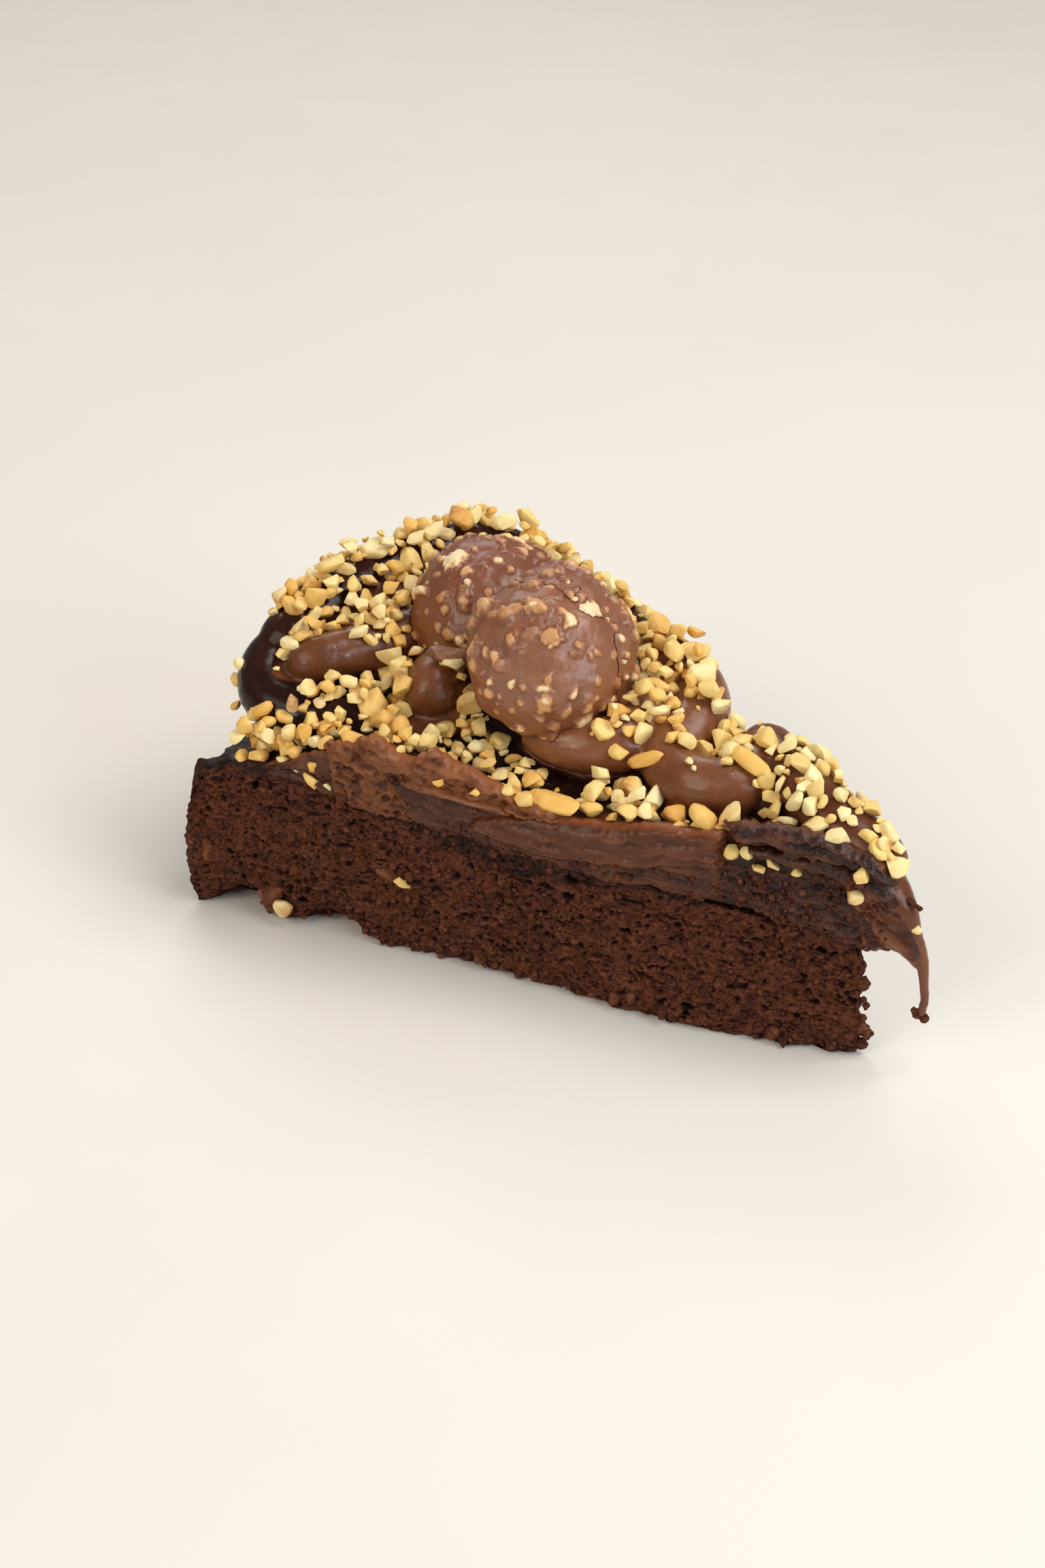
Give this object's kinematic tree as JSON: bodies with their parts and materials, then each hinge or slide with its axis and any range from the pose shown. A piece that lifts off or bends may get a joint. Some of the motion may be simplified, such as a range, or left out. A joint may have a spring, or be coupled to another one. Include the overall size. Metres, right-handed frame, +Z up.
{
  "type": "slice of brownie cake",
  "caption": "Wedge slice of round chocolate brownie cake with a dark glaze, piped chocolate frosting, chopped nuts and broken pieces of nut praline on top.",
  "frame": {"origin": "centre of the slice's bounding box, on the surface it rests on", "axes": "+X along the long near cut from the crust to the tip, +Y from the near cut towards the far one, +Z up"},
  "size_m": [0.1425, 0.0884, 0.0687],
  "materials": {
    "brownie": "open moist crumb, matt",
    "glaze": "dark set glaze, half gloss",
    "frosting": "smooth piped frosting, half gloss",
    "praline": "milk chocolate with nut pieces, half gloss",
    "nuts": "roasted chopped nuts, dry"
  },
  "bodies": {
    "root": {"brownie": "brownie", "glaze": "glaze", "frosting": "frosting", "praline_front": "praline", "praline_back": "praline", "praline_side": "praline"}
  },
  "joints": []
}
